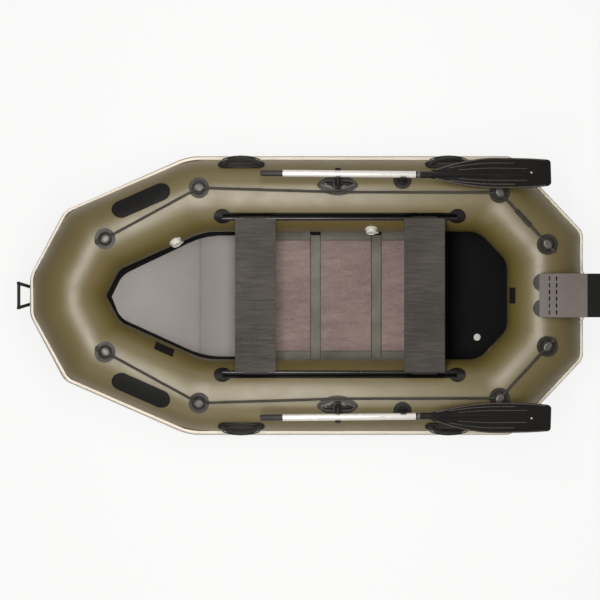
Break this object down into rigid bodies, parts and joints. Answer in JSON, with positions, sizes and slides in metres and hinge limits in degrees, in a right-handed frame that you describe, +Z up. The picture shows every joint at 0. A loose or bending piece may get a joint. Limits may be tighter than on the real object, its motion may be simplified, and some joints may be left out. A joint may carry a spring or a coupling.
{
  "type": "inflatable rowing boat",
  "caption": "Inflatable rowing boat with a raised bow, two sliding seats on rails, two oars in oarlocks, grab lines, handles and a stern motor mount.",
  "frame": {"origin": "on the floor under the middle of the boat's length and beam", "axes": "+X to the bow, +Y to port, +Z up"},
  "size_m": [2.849, 1.3708, 0.47],
  "materials": {
    "tube_fabric": "coated fabric, satin",
    "bottom_fabric": "coated fabric, satin",
    "strip_rubber": "satin",
    "mat_fabric": "coated fabric",
    "floor_wood": "stained plywood",
    "seat_wood": "stained plywood",
    "board_wood": "painted plywood",
    "black_plastic": "moulded",
    "black_rubber": "moulded",
    "shaft_metal": "satin",
    "rope": "twisted",
    "pale_plastic": "moulded",
    "plate_metal": "satin",
    "frame_metal": "satin",
    "bolt_metal": "satin",
    "patch_black": "satin"
  },
  "bodies": {
    "hull": {"bow_tube": "tube_fabric", "stern_tube": "tube_fabric", "hull_bottom": "bottom_fabric", "rub_strip": "strip_rubber", "floor_mat": "mat_fabric", "floor_board_front": "floor_wood", "floor_board_middle": "floor_wood", "floor_board_rear": "floor_wood", "seat_rail_port": "black_plastic", "seat_rail_starboard": "black_plastic", "oarlock_base_port": "black_rubber", "oarlock_base_starboard": "black_rubber", "oar_clip_port": "black_plastic", "oar_clip_starboard": "black_plastic", "carry_handle_front_port": "black_rubber", "carry_handle_front_starboard": "black_rubber", "carry_handle_rear_port": "black_rubber", "carry_handle_rear_starboard": "black_rubber", "rope_eyes_port": "black_rubber", "rope_eyes_starboard": "black_rubber", "grab_line_port": "rope", "grab_line_starboard": "rope", "tow_handle": "black_plastic", "tow_patch": "black_rubber", "valve_bow": "pale_plastic", "valve_stern": "pale_plastic", "motor_saddle": "black_rubber", "motor_plate": "plate_metal", "motor_board": "board_wood", "motor_frame": "frame_metal", "motor_knobs": "pale_plastic", "side_patch_port": "patch_black", "side_patch_starboard": "patch_black", "blank_plates": "patch_black", "drain_plug": "pale_plastic"},
    "front_seat": {"seat_front_board": "seat_wood", "seat_front_clips": "black_plastic"},
    "rear_seat": {"seat_rear_board": "seat_wood", "seat_rear_clips": "black_plastic"},
    "swivel_port": {"oarlock_swivel_port": "black_plastic"},
    "swivel_starboard": {"oarlock_swivel_starboard": "black_plastic"},
    "oar_port": {"oar_shaft_port": "shaft_metal", "oar_grip_port": "black_plastic", "oar_blade_port": "black_plastic", "oar_bolt_port": "bolt_metal"},
    "oar_starboard": {"oar_shaft_starboard": "shaft_metal", "oar_grip_starboard": "black_plastic", "oar_blade_starboard": "black_plastic", "oar_bolt_starboard": "bolt_metal"}
  },
  "joints": [
    {"name": "front_seat_slide", "type": "slide", "parent": "hull", "child": "front_seat", "axis": [1, 0, 0], "range_m": [-0.25, 0.05]},
    {"name": "rear_seat_slide", "type": "slide", "parent": "hull", "child": "rear_seat", "axis": [1, 0, 0], "range_m": [-0.05, 0.25]},
    {"name": "oar_swing_port", "type": "hinge", "parent": "hull", "child": "swivel_port", "pos_m": [-0.141, 0.53142, 0.35607], "axis": [0, -0.2079, -0.9781], "range_deg": [0, 135]},
    {"name": "oar_swing_starboard", "type": "hinge", "parent": "hull", "child": "swivel_starboard", "pos_m": [-0.141, -0.53142, 0.35607], "axis": [0, -0.2079, 0.9781], "range_deg": [0, 135]},
    {"name": "oar_lift_port", "type": "hinge", "parent": "swivel_port", "child": "oar_port", "pos_m": [-0.141, 0.54806, 0.43432], "axis": [0, 0.9781, -0.2079], "range_deg": [0, 12]},
    {"name": "oar_lift_starboard", "type": "hinge", "parent": "swivel_starboard", "child": "oar_starboard", "pos_m": [-0.141, -0.54806, 0.43432], "axis": [0, 0.9781, 0.2079], "range_deg": [0, 12]}
  ]
}
